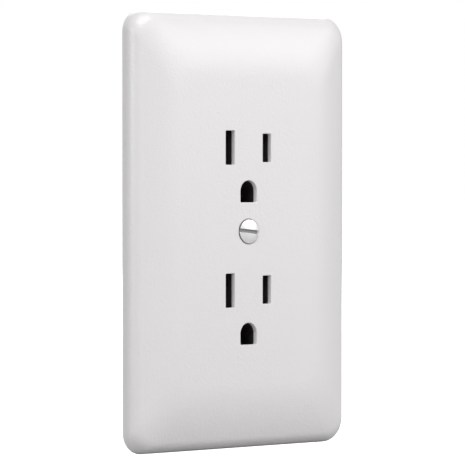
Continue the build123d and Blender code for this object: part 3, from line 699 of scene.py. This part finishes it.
# ------------------------------------------------------------------ shutter springs
def make_spring(row, z):
    """A coil spring with closer turns at its ends, built at its rest length; the real spring shortens as its
    shutter slides.
    """
    shape = Shape()
    loops = []
    length, steps = COIL_END - COIL_START, COIL_TURNS * STEPS_A_TURN
    for step in range(steps + 1):
        share = step / steps
        wave = 2 * math.pi * share
        along = COIL_START + length * (share - COIL_GATHER * math.sin(wave))
        rise = length * (1 - 2 * COIL_GATHER * math.pi * math.cos(wave)) / (2 * math.pi * COIL_TURNS)
        angle = wave * COIL_TURNS
        outward = Vector((0, math.cos(angle), math.sin(angle)))
        ahead = Vector((rise, -COIL_RADIUS * math.sin(angle), COIL_RADIUS * math.cos(angle))).normalized()
        across = ahead.cross(outward)
        centre = Vector((along, COIL_Y, z)) + outward * COIL_RADIUS
        ring = []
        for i in range(WIRE_SIDES):
            turn = 2 * math.pi * i / WIRE_SIDES
            ring.append((centre + (outward * math.cos(turn) + across * math.sin(turn)) * WIRE_RADIUS) * MM)
        loops.append(shape.loop(ring))
        if step in (0, steps):
            shape.cap(loops[-1], centre * MM)
    shape.skin(loops)
    mesh = shape.mesh("spring")
    finish_mesh(mesh, 50)
    spring = add_piece(f"{row}_shutter_coil_spring", mesh, SPRING_STEEL, "housing", "spring_steel",
                       f"{row}_shutter_spring")
    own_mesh(spring)


make_spring("upper", PITCH_Z / 2 + RISE)
make_spring("lower", -PITCH_Z / 2 + RISE)


# ------------------------------------------------------------------ carried-over CAD nodes
for sub in frame["record"]["subparts"]:
    node = NODES[sub["node"]]
    if node.hide_render:
        continue
    finish = BY_SLOT[sub["material_slot"]]
    if not node.data.materials:
        node.data.materials.append(finish)
    for index in range(len(node.material_slots)):
        node.material_slots[index].material = finish


# ------------------------------------------------------------------ studio
WORLD_LIGHT, WORLD_SEEN = 0.25, 1.0
FLOOR_LIGHT, FLOOR_GLOW = 0.37, 0.84
FLOOR_REACH, FLOOR_GAP = 6.0, 0.0004


def area_light(name, place, size, power):
    """A soft rectangular lamp aimed at the middle of the object, with its place and size in metres."""
    data = bpy.data.lights.new(name, "AREA")
    data.shape = "RECTANGLE"
    data.size, data.size_y = size
    data.energy = power
    lamp = bpy.data.objects.new(name, data)
    bpy.context.scene.collection.objects.link(lamp)
    lamp.location = place
    lamp.rotation_euler = (-Vector(place)).to_track_quat("-Z", "Y").to_euler()


area_light("key", (-0.05, -0.75, 0.95), (0.8, 0.5), 8.6)
area_light("left", (-1.15, -0.35, 0.15), (0.6, 0.8), 5.8)
area_light("right", (0.60, -0.72, 0.33), (0.5, 0.32), 2.25)
area_light("card", (0.75, -0.95, 0.08), (0.5, 0.26), 0.68)
area_light("back", (0.5, 1.0, 0.75), (0.9, 0.7), 12)


def seen_by_camera(tree, others, camera_shader):
    """A shader that shows one thing to the camera and gives another to the light in the studio."""
    mix = tree.nodes.new("ShaderNodeMixShader")
    tree.links.new(tree.nodes.new("ShaderNodeLightPath").outputs["Is Camera Ray"], mix.inputs["Fac"])
    tree.links.new(others, mix.inputs[1])
    tree.links.new(camera_shader, mix.inputs[2])
    return mix.outputs["Shader"]


world = bpy.data.worlds.new("studio")
world.use_nodes = True
tree = world.node_tree
dim = tree.nodes["Background"]
dim.inputs["Color"].default_value = (1, 1, 1, 1)
dim.inputs["Strength"].default_value = WORLD_LIGHT
bright = tree.nodes.new("ShaderNodeBackground")
bright.inputs["Color"].default_value = (1, 1, 1, 1)
bright.inputs["Strength"].default_value = WORLD_SEEN
shown = seen_by_camera(tree, dim.outputs["Background"], bright.outputs["Background"])
tree.links.new(shown, tree.nodes["World Output"].inputs["Surface"])
bpy.context.scene.world = world

floor_shape = Shape()
level = CAD_BOX[0][2] - FLOOR_GAP
corners = [Vector((FLOOR_REACH * x, FLOOR_REACH * y, level)) for x, y in ((-1, -1), (1, -1), (1, 1), (-1, 1))]
floor_shape.faces = [tuple(floor_shape.loop(corners))]
floor = bpy.data.objects.new("floor", floor_shape.mesh("floor"))
bpy.context.scene.collection.objects.link(floor)
paint = Nodes("floor_paint", (0.9, 0.9, 0.9), 0.7)
mottled = paint.tint(paint.noise(3, 3), (0.89, 0.89, 0.89), (0.91, 0.91, 0.91))
paint.link(mottled, paint.shader.inputs["Base Color"])
paint.shader.inputs["Specular IOR Level"].default_value = 0.1
paint.shader.inputs["Emission Color"].default_value = (1, 1, 1, 1)
paint.shader.inputs["Emission Strength"].default_value = FLOOR_GLOW
dull = paint.new("ShaderNodeBsdfDiffuse")
dull.inputs["Color"].default_value = (FLOOR_LIGHT, FLOOR_LIGHT, FLOOR_LIGHT, 1)
shown = seen_by_camera(paint.tree, dull.outputs["BSDF"], paint.shader.outputs["BSDF"])
paint.link(shown, paint.tree.nodes["Material Output"].inputs["Surface"])
floor.data.materials.append(paint.material)

bpy.context.scene.view_settings.view_transform = "Standard"
bpy.context.scene.view_settings.look = "None"
